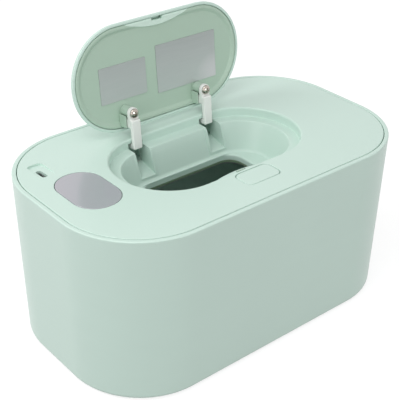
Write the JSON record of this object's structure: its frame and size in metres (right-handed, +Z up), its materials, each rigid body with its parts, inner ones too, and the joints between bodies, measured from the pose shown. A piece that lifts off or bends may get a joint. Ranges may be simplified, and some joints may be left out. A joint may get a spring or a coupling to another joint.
{
  "type": "baby wipe warmer",
  "caption": "Free-standing warmer for a stack of baby wipes: rounded casing, lift-off cover with a heater below it, and a sprung lid over a sunken bowl and mouth.",
  "frame": {"origin": "on the table, under the middle of the casing", "axes": "+X to the right along the casing's length, +Y to the rear where the lid is hinged, +Z up"},
  "size_m": [0.225, 0.1352, 0.1725],
  "materials": {
    "mint_shell": "smooth moulded, pale mint",
    "mint_satin": "satin moulded, pale mint",
    "white_nylon": "smooth white nylon",
    "screw_steel": "bright plated steel",
    "label_silver": "satin silver, blank",
    "window_grey": "tinted glossy grey",
    "heater_metal": "rolled sheet",
    "film_amber": "amber film",
    "board_green": "solder mask",
    "part_black": "moulded black",
    "foot_rubber": "soft grey",
    "wire_white": "white insulation"
  },
  "bodies": {
    "casing": {"outer_casing": "mint_shell", "foot_front_left": "foot_rubber", "foot_front_right": "foot_rubber", "foot_rear_left": "foot_rubber", "foot_rear_right": "foot_rubber"},
    "cover": {"top_cover": "mint_shell", "heater_tray": "mint_satin", "heating_film": "film_amber", "heater_plate": "heater_metal", "cover_screw_1": "screw_steel", "cover_screw_2": "screw_steel", "cover_screw_3": "screw_steel", "cover_screw_4": "screw_steel", "cover_screw_5": "screw_steel", "cover_screw_6": "screw_steel", "heater_screw_1": "screw_steel", "heater_screw_2": "screw_steel", "heater_screw_3": "screw_steel", "heater_screw_4": "screw_steel", "board_screw_1": "screw_steel", "board_screw_2": "screw_steel", "bracket_screw_left": "screw_steel", "bracket_screw_right": "screw_steel", "temperature_sensor": "part_black", "thermal_cutoff": "heater_metal", "heater_wire_live": "wire_white", "heater_wire_return": "wire_white", "sensor_lead": "wire_white", "main_board": "board_green", "control_chip": "part_black", "display_module": "part_black", "display_window": "window_grey", "power_inlet": "screw_steel", "latch_bracket": "mint_satin", "button_spring_left": "screw_steel", "button_spring_right": "screw_steel", "hinge_pin_left": "screw_steel", "hinge_pin_right": "screw_steel", "lid_spring_left": "screw_steel", "lid_spring_right": "screw_steel"},
    "lid": {"lid_shell": "mint_shell", "lid_liner": "mint_satin", "blank_plate_left": "label_silver", "blank_plate_right": "label_silver", "hinge_arm_left": "white_nylon", "hinge_arm_right": "white_nylon", "arm_screw_left": "screw_steel", "arm_screw_right": "screw_steel"},
    "button": {"button": "mint_shell"},
    "latch": {"latch": "mint_satin"}
  },
  "joints": [
    {"name": "cover_lift", "type": "slide", "parent": "casing", "child": "cover", "axis": [0, 0, 1], "range_m": [0, 0.12]},
    {"name": "lid_hinge", "type": "hinge", "parent": "cover", "child": "lid", "pos_m": [0, 0.041, 0.1], "axis": [1, 0, 0], "range_deg": [0, 95.7], "stiffness_Nm_per_rad": 0.015, "springref_deg": -34.38},
    {"name": "button_press", "type": "slide", "parent": "cover", "child": "button", "axis": [0, 0, -1], "range_m": [0, 0.002], "stiffness_N_per_m": 600, "springref_m": -0.001, "deforming": ["button_spring_left", "button_spring_right"]},
    {"name": "latch_slide", "type": "slide", "parent": "cover", "child": "latch", "axis": [0, -1, 0], "range_m": [0, 0.0005]}
  ],
  "couplings": [
    {"joint": "latch_slide", "follows": "button_press", "ratio": 0.25}
  ]
}
